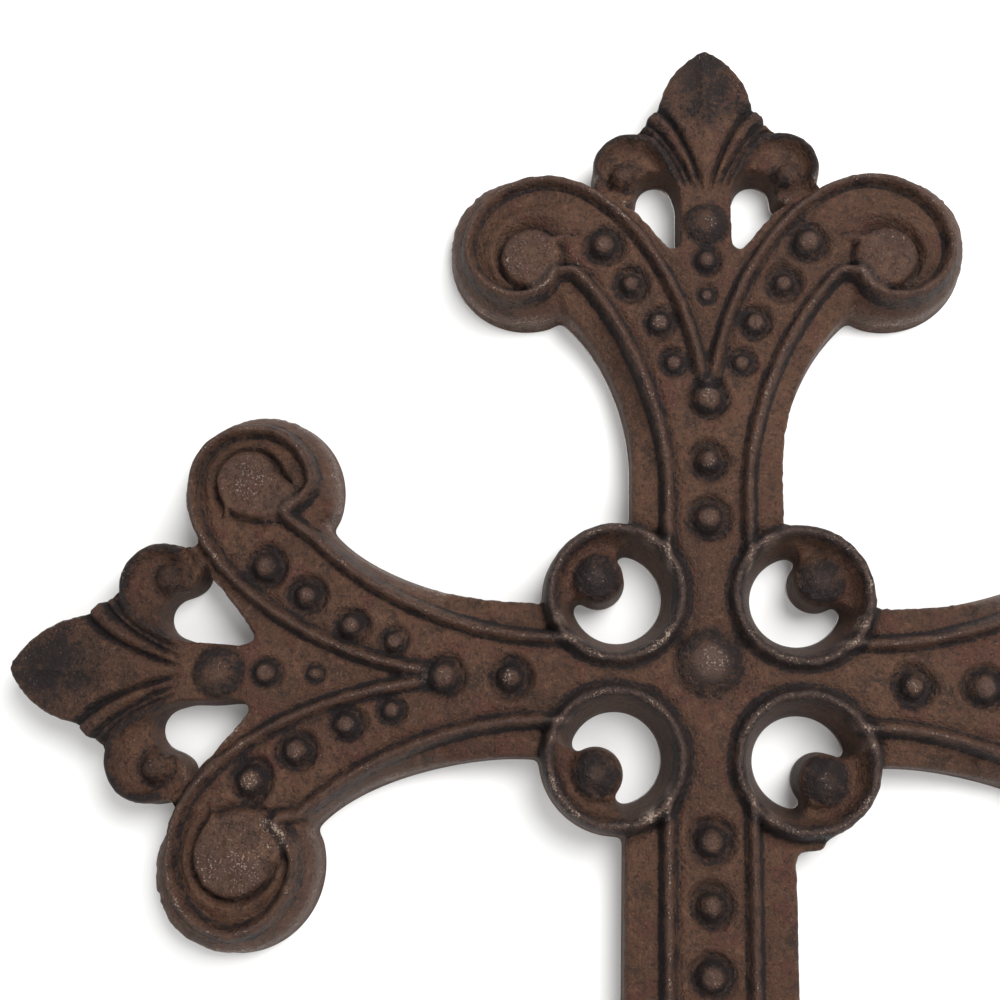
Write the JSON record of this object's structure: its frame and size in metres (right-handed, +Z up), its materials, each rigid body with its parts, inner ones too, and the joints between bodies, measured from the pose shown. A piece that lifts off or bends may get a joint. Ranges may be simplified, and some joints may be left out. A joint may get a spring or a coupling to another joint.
{
  "type": "cast iron wall cross",
  "caption": "Flat cast iron wall cross with flared scrolled ends, leaf finials, beaded channels and rings round a centre boss, with a blind hanging hole in the back.",
  "frame": {"origin": "centre of the mouth of the blind hanging hole, on the flat back, 40 mm above the middle of the four rings", "axes": "+Z up along the long arm, -Y out of the ornamented front, the flat back lies on Y = 0 facing +Y"},
  "size_m": [0.232, 0.0105, 0.33],
  "materials": {
    "iron": "rust brown patina, darker in the hollows, worn on the high spots"
  },
  "bodies": {
    "root": {"cross": "iron"}
  },
  "joints": []
}
